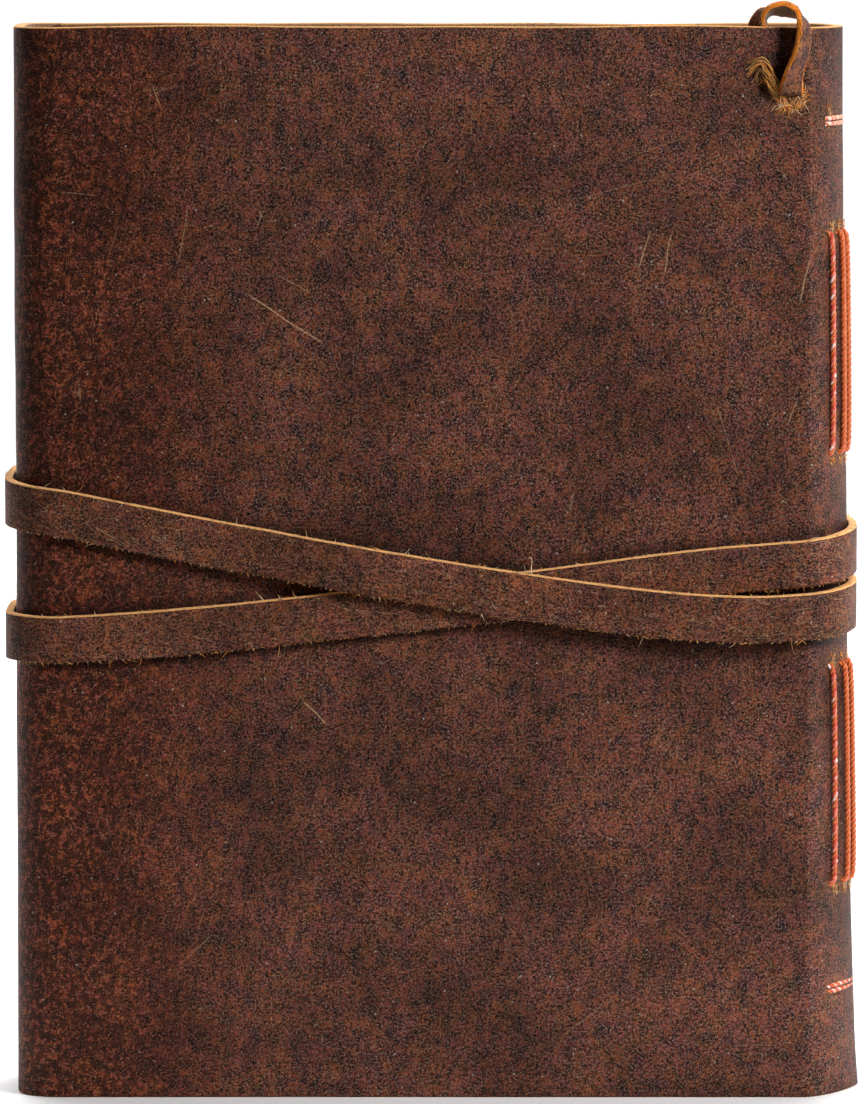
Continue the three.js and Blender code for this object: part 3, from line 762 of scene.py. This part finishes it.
def strap_route():
    """The strap's route, from its hidden end on the front, twice round, to its tucked end."""
    half = STRAP_THICKNESS / 2
    back = BACK_Y - STRAP_GAP - half
    over = back - STRAP_THICKNESS - 0.3 * MM
    flap = FLAP_HIGH.y + STRAP_GAP + half
    cover = SPINE_DEPTH + STRAP_GAP + half
    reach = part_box("strap")[1].x - LEATHER + half - SPINE_X
    radius = FOLD_RADIUS + STRAP_GAP + half

    def round_spine(z_front, z_back, back_y):
        stations = []
        for i in range(13):
            angle, share = pi * (0.5 - i / 12), i / 12
            depth = -back_y if i > 6 else cover
            stations.append((SPINE_X + reach * cos(angle), depth * sin(angle),
                             z_front + (z_back - z_front) * share))
        return stations

    def round_fore_edge(z_back, z_front):
        stations = []
        for i in (*range(7), *range(6, 13)):
            front = len(stations) > 6
            angle = pi * (1 - (i - 6) / 12 if front else -0.5 - i / 12)
            y = (FRONT_FOLD_Y if front else BACK_FOLD_Y) + radius * sin(angle)
            z = z_back + (z_front - z_back) * i / 12
            stations.append((FOLD_X + radius * cos(angle), y, z))
        return stations

    def run(y, *places):
        return [(x * MM, y, z * MM) for x, z in places]

    route = [
        *run(cover, (-10, 110), (20, 108), (50, 105.5)),
        *round_spine(105.5 * MM, 101.6 * MM, back),
        *run(back, (51, 99.9), (18, 95.7), (-18, 91.7), (-44, 88.9)),
        *round_fore_edge(87.1 * MM, 87.5 * MM),
        (FLAP_HIGH.x, flap, 87.2 * MM),
        *run(SPINE_DEPTH + 2.7 * MM, (0, 88)),
        *run(SPINE_DEPTH + 1.8 * MM, (40, 89)),
        *round_spine(94.5 * MM, 91.6 * MM, (back + over) / 2),
        *run(over, (62, 91.2), (51, 91.5), (36, 92.9), (18, 95.4), (0, 98.2), (-19, 101.4)),
        *run((back + over) / 2, (-32, 103.8)),
        *run(back, (-44, 105.9)),
        *round_fore_edge(111.2 * MM, 114.6 * MM),
        *run(flap, (-52, 113.6), (FLAP_HIGH.x / MM, 112.8), (0, 111), (20, 109.6)),
    ]
    return [(x, y, z + STRAP_LIFT) for x, y, z in route]


STRAP_POINTS = smooth_route(strap_route(), 1 * MM)[0]


def strap_shade(x, y, z):
    """Painted shade: 1 where the wound strap lies on the back, falling to 0 just outside it."""
    on_back = STRAP_POINTS[:, 1] < BACK_Y
    steps = np.diff(on_back.astype(int))
    field = np.zeros(np.broadcast(x, z).shape)
    for start, end in zip(np.flatnonzero(steps == 1) + 1, np.flatnonzero(steps == -1) + 1):
        run = STRAP_POINTS[start:end]
        order = np.argsort(run[:, 0])
        middle = np.interp(x, run[order, 0], run[order, 2])
        outside = np.abs(z - middle) - STRAP_WIDTH / 2
        field = np.maximum(field, np.clip(1.3 - outside / (1.7 * MM), 0, 1))
    return field * (y < BACK_Y + 3 * MM)


def hide_piece(name, start, end):
    """The stretch of the hide between two rows of its outline, as a closed sheet."""
    rows = OUTLINE[start:end + 1]
    ring = hide_ring()
    depth, height, zones = ring[:, 0], ring[:, 1], ring[:, 2].astype(int)
    x, y, nx, ny, along = (rows[:, k][:, None] for k in range(5))
    pinch = np.zeros(len(rows))
    if start == 0:
        pinch[:2] = (EDGE_ROUND, EDGE_ROUND * 0.1)
    if end == len(OUTLINE) - 1:
        pinch[-2:] = (EDGE_ROUND * 0.1, EDGE_ROUND)
    inner = pinch[:, None] + depth * (LEATHER - 2 * pinch[:, None]) / LEATHER
    for seed, size, reach in WAVES:
        inner = inner + size * rough(seed, along / reach, height / reach)
    dent = HOLE_DENT * near_holes(along, height, HOLES, HOLE_DENT_RADIUS)
    inner = inner + dent * (1 - depth / LEATHER)
    share = np.clip((x - SPINE_X) / SPINE_BULGE, 0, None)
    top = HEAD_WAVE * rough(3, along / HEAD_WAVE_LENGTH, 0 * along)
    px = x - nx * inner + share * swell(height)
    py = y - ny * inner
    pz = height + top * (height / HEIGHT) ** 6
    rings = np.stack([px, py, np.broadcast_to(pz, px.shape)], 2)
    outer = len(hide_heights()) + 2
    v = np.concatenate([height[:outer], HEIGHT + depth[outer:outer + 4],
                        2 * HEIGHT - height[outer + 4:], [2 * HEIGHT + LEATHER]])
    builder = Builder()
    builder.add(rings, rows[:, 4], v, zones, end_zone=1)
    piece = builder.finish(name, (COVER_GRAIN, CUT_EDGE, FLESH))

    outside = depth < LEATHER / 4
    shade = 1.25 * near_holes(along, height, HOLES, 0.62 * MM) * outside
    marker_hole = (along_back(MARKER_HOLE[0] / MM) * MM, MARKER_HOLE[1] + 0.4 * MM)
    scuff = np.maximum(near_holes(along, height, [marker_hole], 1.7 * MM),
                       0.55 * near_holes(along, height, HOLES, 1.5 * MM))
    # painted shade in the holes and along the strap; scuff is wear round the holes
    fields = {"hole_shade": np.clip(shade, 0, 1), "scuff": np.clip(scuff * 1.3, 0, 1),
              "strap_shade": strap_shade(px, py, height) * outside}
    for label, field in fields.items():
        layer = piece.data.attributes.new(label, "FLOAT", "POINT")
        values = np.broadcast_to(field, px.shape).astype(np.float32).ravel()
        layer.data.foreach_set("value", values)
    return piece


def row_at(x, y):
    """The outline row nearest a point in plan."""
    return int(np.argmin(np.hypot(OUTLINE[:, 0] - x, OUTLINE[:, 1] - y)))


def build_hide():
    """The hide as three sheets, each shaped round where its leather folds."""
    wall, seam = row_at(WALL_LOW.x, 0), row_at(SEAM_X, BACK_Y)
    past = 2 * MM
    sheets = (
        ("hide_wrap_flap", 0, wall, ("wall", "flap"), ("wrap_flap",),
         (WALL_LOW.x, FRONT_FOLD_Y - past, 0), (FOLD_X + past, FLAP_HIGH.y, 0)),
        ("hide_back_cover", wall, seam, ("book", "wall"), ("back_cover", "fore_edge_wall"),
         (FOLD_X + past, BACK_Y, 0), (WALL_LOW.x, BACK_FOLD_Y + past, 0)),
        ("hide_spine_and_front", seam, len(OUTLINE) - 1, ("book", "front"),
         ("spine_leather", "front_cover"), (HINGE_X, HINGE_Y, 0),
         (HINGE_X - HINGE_REACH, HINGE_Y + HINGE_REACH, 0)),
    )
    for name, first, last, bodies, nodes, start, end in sheets:
        piece = hide_piece(name, first, last)
        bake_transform(piece)
        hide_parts(*nodes)


# ---- Bands: the strap and the page marker ----

def band_section(width, thickness, corner, across_points):
    """A flat band's section as across, out and zone: outer face, edge, inner face, edge."""
    half, deep = width / 2, thickness / 2
    flat = np.linspace(-half + corner, half - corner, across_points)
    bevel = 0.3 * corner
    section = [(-half, -deep + 1.6 * bevel, 1), (-half, deep - 1.6 * bevel, 0)]
    section += [(-half + 0.5 * bevel, deep - 0.5 * bevel, 0), (-half + 1.6 * bevel, deep, 0)]
    section += [(a, deep, 0) for a in flat]
    section[-1] = (flat[-1], deep, 1)
    section += [(half - bevel, deep - bevel, 1), (half, deep - 2.2 * bevel, 1)]
    section += [(half, -deep + 1.6 * bevel, 1), (half - bevel, -deep + 0.4 * bevel, 1)]
    section += [(a, -deep, 2) for a in flat[::-1]]
    section[-1] = (flat[0], -deep, 1)
    section += [(-half + bevel, -deep + 0.4 * bevel, 1)]
    return np.array(section)


def build_band(name, points, across, section, seed, fray, materials):
    """A band swept along points, with its edges cut a little unevenly."""
    along, across, out = frames_along(points, across)
    lengths = lengths_along(points)
    a, o, zones = section[:, 0], section[:, 1], section[:, 2].astype(int)
    side = np.sign(a) * np.clip((np.abs(a) / np.abs(a).max() - 0.9) / 0.1, 0, 1)
    edge, far = np.sign(a)[None, :], lengths[:, None]
    ragged = fray * rough(seed, far / (1.7 * MM), 2.0 * edge)
    ragged += 2 * fray * rough(seed + 1, far / (9 * MM), 3.0 * edge)
    spread = a[None, :] + side[None, :] * ragged
    rings = (points[:, None, :] + across[:, None, :] * spread[:, :, None]
             + out[:, None, :] * o[None, :, None])
    v = np.concatenate([[0], np.cumsum(np.hypot(np.diff(a), np.diff(o)))])
    v = np.append(v, v[-1] + hypot(a[0] - a[-1], o[0] - o[-1]))
    builder = Builder()
    builder.add(rings, lengths, v, zones, end_zone=1)
    return builder.finish(name, materials), (along, across, out)


def hair(builder, root, lean, curl, length, radius, zone):
    """One loose fibre, that curls as it goes."""
    share = np.linspace(0, 1, 5)
    points = root + np.outer(share * length, lean) + np.outer(share ** 2 * length * 0.6, curl)
    fibre(builder, points, radius, zone)


def fibre(builder, points, radius, zone):
    """A tapering four-sided tube along the points."""
    lengths = lengths_along(points)
    radii = radius * (1 - 0.75 * lengths / lengths[-1])
    rings = circles(points, *transported(points), radii, 4)
    builder.add(rings, lengths, np.arange(5) * radius, zone, end_zone=zone)


def band_fuzz(name, points, frames, width, thickness, count, strays=()):
    """Loose fibres along both cut edges of a band, more and longer on the lower edge."""
    along, across, out = frames
    builder = Builder()
    for _ in range(count):
        i = dice.randrange(4, len(points) - 4)
        side = -1 if dice.random() < 0.68 else 1
        root = points[i] + across[i] * side * (width / 2 - 0.05 * MM)
        root = root + out[i] * between(0.0, 0.48) * thickness
        lean = across[i] * side * between(0.3, 1.0) + out[i] * between(-0.1, 0.25)
        lean = unit(lean + along[i] * between(-1.3, 1.3))
        curl = along[i] * between(-1, 1) + across[i] * between(-0.8, 0.8)
        length = between(0.18, 0.65) if dice.random() < 0.965 else between(0.9, 2.0)
        radius = between(0.035, 0.075) * MM
        hair(builder, root, lean, curl, length * MM, radius, dice.randrange(3))
    for x, z in strays:
        bends = ((0, 0), (0.1, 1.4), (0.2, 2.6), (-0.1, 3.0), (-0.5, 2.8))
        route = off_back((x + across_by, -3.1, z + up_by) for across_by, up_by in bends)
        fibre(builder, smooth_route(route, 0.3 * MM)[0], 0.13 * MM, 2)
    return builder.finish(name, FIBRES)


def build_strap():
    """The strap, wound twice round the book, with its loose fibres."""
    across = np.tile((0.0, 0.0, 1.0), (len(STRAP_POINTS), 1))
    section = band_section(STRAP_WIDTH, STRAP_THICKNESS, 0.26 * MM, 6)
    strap, frames = build_band("strap_band", STRAP_POINTS, across, section, 20, 0.05 * MM,
                               (STRAP_GRAIN, STRAP_EDGE, FLESH))
    settle(strap, "wound_strap", "strap_leather", "strap")
    fuzz = band_fuzz("strap_fuzz", STRAP_POINTS, frames, STRAP_WIDTH, STRAP_THICKNESS, 3400,
                     STRAY_HAIRS)
    settle(fuzz, "wound_strap", "strap_leather")


def build_marker():
    """The page marker: out of its hole, up over the head edge and down between the pages."""
    inside = LEATHER / MM + 1.1
    # In millimetres: x, depth below the back's face and height, then the way of the width.
    stations = [
        ((66.6, inside, 186.5), (1, 0, 0.2)), ((66.8, inside, 188.6), (1, 0, 0.1)),
        ((67.0, 1.7, 190.0), (1, 0, 0.1)), ((67.2, 0.2, 190.4), (1, 0, 0)),
        ((67.3, -1.1, 191.0), (0.97, 0.2, 0)), ((67.4, -1.9, 192.6), (0.85, 0.5, 0)),
        ((67.9, -2.2, 194.8), (0.72, 0.7, 0)), ((68.9, -2.3, 197.6), (0.6, 0.8, 0)),
        ((69.5, -2.3, 200.4), (0.55, 0.83, 0)), ((69.5, -2.1, 203.2), (0.4, 0.9, -0.1)),
        ((68.6, -1.7, 205.2), (0.25, 0.87, -0.4)), ((66.6, -1.0, 206.2), (0, 0.86, -0.5)),
        ((64.5, -0.1, 206.0), (-0.2, 0.86, -0.46)), ((62.9, 1.0, 205.2), (-0.4, 0.86, -0.3)),
        ((61.8, 2.3, 204.0), (-0.6, 0.8, 0)), ((61.1, inside, 201.2), (-0.98, 0.12, 0)),
        ((60.8, inside, 196), (-1, 0, 0)), ((60.6, inside, 178), (-1, 0, 0)),
        ((60.4, inside, 150), (-1, 0, 0)), ((60.2, inside, 110), (-1, 0, 0)),
    ]
    points, places = smooth_route(off_back(place for place, _ in stations), 0.5 * MM)
    turns = np.array([across for _, across in stations], float)
    across = [np.interp(places, np.arange(len(turns)), turns[:, k]) for k in range(3)]
    section = band_section(MARKER_WIDTH, MARKER_THICKNESS, 0.16 * MM, 4)
    marker, frames = build_band("page_marker", points, np.stack(across, 1), section, 40,
                                0.06 * MM, (MARKER_GRAIN, MARKER_EDGE, FLESH))
    settle(marker, "book", "thong_leather", "bookmark_thong")
    seen = 70  # points from the hole to past the head edge
    fuzz = band_fuzz("page_marker_fuzz", points[:seen], [f[:seen] for f in frames],
                     MARKER_WIDTH, 1.4 * MM, 130)
    settle(fuzz, "book", "thong_leather")


def frayed_tail(builder):
    """The marker's short frayed end, in four locks and some shorter fibres."""
    locks, long_fibres = ((59.2, 196.2), (59.0, 195.0), (59.6, 193.7), (60.6, 192.6)), 36
    for number in range(52):
        x, z = locks[number % 4]
        if number >= long_fibres:
            x, z = between(61.0, 63.5), between(192.0, 195.0)
        rise = 195.9 + 1.2 - 0.6 * (number % 4)
        bends = (
            ((62.8, 65.0), (-1.8, -0.3), (191.2, 193.2)),
            ((61.8, 64.0), (-1.8, -0.4), (193.7, 195.3)),
            ((61.3, 62.1), (-1.5, -0.4), (rise - 0.25, rise + 0.25)),
            ((x - 0.9, x + 0.6), (-1.3, -0.2), (z - 0.3, z + 0.3)),
        )
        route = [(between(64.4, 66.6), 0.3, between(187.9, 190.1))]
        route += [tuple(between(*span) for span in bend) for bend in bends]
        if number >= long_fibres:
            route = route[:2] + [(x, -0.5, z)]
        points = smooth_route(off_back(route), 0.9 * MM)[0]
        radius = between(0.07, 0.15) * MM
        fibre(builder, points, radius, dice.choice((0, 1, 1, 0, 3)))


def scuffed_rim(builder):
    """The fibres that stand round the lower side of the marker's hole."""
    centre_x, centre_z = MARKER_HOLE[0] + 0.3 * MM, MARKER_HOLE[1] + 1.5 * MM
    for _ in range(330):
        angle = between(radians(160), radians(395))
        reach = between(1.7, 3.3) * MM
        root = np.array([centre_x + reach * cos(angle), BACK_Y + 0.05 * MM,
                         centre_z + reach * 0.85 * sin(angle)])
        lean = np.array([between(-1, 1), between(-0.6, -0.15), between(-1, 1)])
        curl = np.array([between(-1, 1), 0.3, between(-1, 1)])
        length, radius = between(0.5, 1.6) * MM, between(0.04, 0.085) * MM
        hair(builder, root, lean, curl, length, radius, dice.choice((0, 1, 1, 2, 3)))


def hole_fibres(builder):
    """Short fibres beside the sewing holes that can be seen from the back."""
    holes = [(signature_y(0) - 1.2 * MM, HEAD_KETTLE_Z + 2 * MM)]
    for index in (0, 1, 2):
        holes += [(signature_y(index), z + side * MM)
                  for z, side in zip(STITCH_STATIONS, (1.2, -1.2, 1.2, -1.2))]
    for hole_y, hole_z in holes:
        for _ in range(34):
            y = hole_y + between(-0.8, 0.8) * MM
            z = hole_z + between(-0.9, 0.9) * MM
            root = np.array([spine_x(y, z, -0.05 * MM), y, z])
            lean = np.array([between(0.1, 0.6), between(-0.6, 0.2), between(-1, 1)])
            curl = np.array([-0.2, between(-0.6, 0.6), between(-1, 1)])
            length, radius = between(0.4, 1.2) * MM, between(0.04, 0.08) * MM
            hair(builder, root, lean, curl, length, radius, dice.randrange(4))


def build_frayed_end():
    """The marker's frayed end beside its hole, and the scuffed fibres round the holes."""
    builder = Builder()
    frayed_tail(builder)
    scuffed_rim(builder)
    hole_fibres(builder)
    settle(builder.finish("frayed_end", FIBRES), "book", "thong_leather")


# ---- Sewing ----

def twisted(name, route, materials, pitch, size):
    """A thread of three strands laid round each other along a route."""
    points, _ = smooth_route(route, 0.36 * MM)
    lengths = lengths_along(points)
    normal, binormal = transported(points)
    strand, laid = 0.29 * MM * size, 0.26 * MM * size
    builder = Builder()
    for ply in range(3):
        turn = 2 * pi * (lengths / pitch + ply / 3)
        spread = normal * np.cos(turn)[:, None] + binormal * np.sin(turn)[:, None]
        width = strand * (1 + 0.1 * rough(60 + ply, lengths / (1.1 * MM)))
        rings = circles(points + laid * spread, normal, binormal, width, 6)
        builder.add(rings, lengths, np.arange(7) * strand, ply, end_zone=ply)
    return builder.finish(name, materials)


def surface_x(y, z, sunk=0.12 * MM):
    """The middle of a thread that lies on the spine, sunk into it a little."""
    return spine_x(y, z, THREAD_RADIUS - sunk)


def build_sewing():
    """A thread for each signature: along inside its fold and out for its two long stitches."""
    for index in range(len(SIGNATURES)):
        y, inside = signature_y(index), fold_x(index)
        out_y = y - FIRST_STITCH_LEAN if index == 0 else y
        corners = [(inside, y, HEAD_KETTLE_Z - 3 * MM)]
        for station, z in enumerate(STITCH_STATIONS):
            stops = [(inside, y, z), (surface_x(out_y, z), out_y, z)]
            corners += stops if station % 2 == 0 else stops[::-1]
            if station % 2 == 0:
                middle = (z + STITCH_STATIONS[station + 1]) / 2
                corners.append((surface_x(out_y, middle) + STITCH_RISE, out_y, middle))
        corners.append((inside, y, TAIL_KETTLE_Z + 3 * MM))
        materials = (WORN, RED, ORANGE) if index == 0 else (ORANGE, ORANGE, ORANGE)
        thread = twisted(f"long_stitch_{index + 1}", round_corners(corners, 0.9 * MM),
                         materials, 3.2 * MM, 1.14)
        settle(thread, "book", "waxed_thread", f"sewing_thread_{index + 1}")


def build_kettle(name, z, materials):
    """The linking stitch across the spine: two lines side by side, joined at the far end."""
    ys = np.linspace(signature_y(0) - KETTLE_START, signature_y(len(SIGNATURES) - 1), 12)
    sunk = np.interp(ys, (ys[0], ys[0] + 8 * MM), KETTLE_SUNK)
    high, low = z + KETTLE_PITCH / 2, z - KETTLE_PITCH / 2
    inner = fold_x(0) + THREAD_RADIUS
    over = list(zip(ys, sunk))
    corners = [(inner, ys[0], high)]
    corners += [(surface_x(y, high, deep), y, high) for y, deep in over]
    corners += [(surface_x(y, low, deep), y, low) for y, deep in over[::-1]]
    corners.append((inner, ys[0], low))
    stitch = twisted(name + "_twist", round_corners(corners, 0.5 * MM), materials, 2.2 * MM, 0.88)
    settle(stitch, "book", "waxed_thread", name)


# ---- Pages ----

def build_signature(index):
    """Folded sheets, one inside the next, with soft deckled fore edges."""
    name = SIGNATURES[index]
    low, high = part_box(name)
    centre_y, centre_x = signature_y(index), fold_x(index)
    pitch = (FOLD_HALF - 0.25 * MM) / SHEETS
    heights = np.linspace(low.z, high.z, 40)
    turn = np.linspace(-pi / 2, pi / 2, 9)
    builder = Builder()
    for number in range(SHEETS):
        outer = FOLD_HALF - number * pitch
        seed = 100 + index * SHEETS + number
        inset = (0.5 + 0.9 * abs(sin(seed * 2.4))) * MM
        edges = low.x + inset + 0.35 * MM * rough(seed, heights / (6 * MM))
        rings = []
        for z, edge in zip(heights, edges):
            middle = (edge + centre_x) / 2
            faces = []
            for radius in (outer, outer - SHEET):
                arc = [(centre_x + radius * cos(t), centre_y + radius * sin(t))
                       for t in turn]
                faces.append([(edge, centre_y - radius), (middle, centre_y - radius), *arc,
                              (middle, centre_y + radius), (edge, centre_y + radius)])
            rings.append([(x, y, z) for x, y in faces[0] + faces[1][::-1]])
        rings = np.array(rings)
        v = lengths_along(rings[0, :, :2])
        zones = np.zeros(len(v), int)
        zones[[len(v) // 2 - 1, len(v) - 1]] = 1
        builder.add(rings, heights, np.append(v, v[-1] + SHEET), zones, end_zone=1)
    block = builder.finish(f"pages_{index + 1}", (PAPER, LEAF_EDGE))
    settle(block, "first_pages" if name == SIGNATURES[-1] else "book", "page_paper", name)


# ---- Stage ----

def build_floor():
    """A pale floor that ends a little way in front of the book."""
    finish = Finish("floor", roughness=0.9, specular=0.1)
    finish.colour((0.93, 0.93, 0.93, 1))
    side, front, back = 1.2, 0.12, 1.2
    mesh = bpy.data.meshes.new("floor")
    corners = [(-side, -front, 0), (side, -front, 0), (side, back, 0), (-side, back, 0)]
    mesh.from_pydata(corners, [], [(0, 1, 2, 3)])
    mesh.materials.append(finish.material)
    floor = new_object("floor", mesh)
    floor.location.z = -0.1 * MM


def build_light():
    """A white studio, brighter behind the book than in front of it, and two soft lamps."""
    world = bpy.data.worlds.new("studio")
    bpy.context.scene.world = world
    world.use_nodes = True
    nodes, links = world.node_tree.nodes, world.node_tree.links
    toward, parts, strength, seen, shown = (nodes.new("ShaderNode" + kind) for kind in (
        "TexCoord", "SeparateXYZ", "MapRange", "LightPath", "Mix"))
    backdrop = nodes["Background"].inputs
    shown.inputs[3].default_value = 1.05
    for socket, number in zip(strength.inputs[1:], (0.1, 0.8, 0.05, 1.05)):
        socket.default_value = number
    links.new(toward.outputs["Generated"], parts.inputs[0])
    links.new(parts.outputs["Y"], strength.inputs["Value"])
    links.new(seen.outputs["Is Camera Ray"], shown.inputs[0])
    links.new(strength.outputs["Result"], shown.inputs[2])
    links.new(shown.outputs[0], backdrop["Strength"])
    backdrop["Color"].default_value = (1.0, 1.0, 1.0, 1)

    middle = Vector((0, 0, HEIGHT / 2))
    for name, place, size, power in LAMPS:
        light = bpy.data.lights.new(name, "AREA")
        light.size = size
        light.energy = power
        lamp = new_object(name, light)
        lamp.location = place
        lamp.rotation_euler = (middle - Vector(place)).to_track_quat("-Z", "Y").to_euler()


def build_camera():
    """The camera looks at the back cover, a little from above."""
    camera = bpy.data.cameras.new("camera")
    camera.sensor_width = 36
    camera.lens = camera.sensor_width * CAMERA_DISTANCE / VIEW_HEIGHT
    camera.shift_y = CAMERA_SHIFT
    holder = new_object("camera", camera)
    holder.location = (0, BACK_Y - CAMERA_DISTANCE, EYE_HEIGHT)
    target = Vector((0, BACK_Y, VIEW_MIDDLE - CAMERA_SHIFT * VIEW_HEIGHT))
    holder.rotation_euler = (target - holder.location).to_track_quat("-Z", "Y").to_euler()
    bpy.context.scene.camera = holder
    bpy.context.scene.view_settings.view_transform = "Standard"


build_camera()
build_floor()
build_light()
build_hide()
build_strap()
build_marker()
build_frayed_end()
build_sewing()
build_kettle("kettle_stitch_head", HEAD_KETTLE_Z, (BLUSH, ORANGE, BLUSH))
build_kettle("kettle_stitch_tail", TAIL_KETTLE_Z, (ORANGE, RED, BLUSH))
for signature_index in range(len(SIGNATURES)):
    build_signature(signature_index)
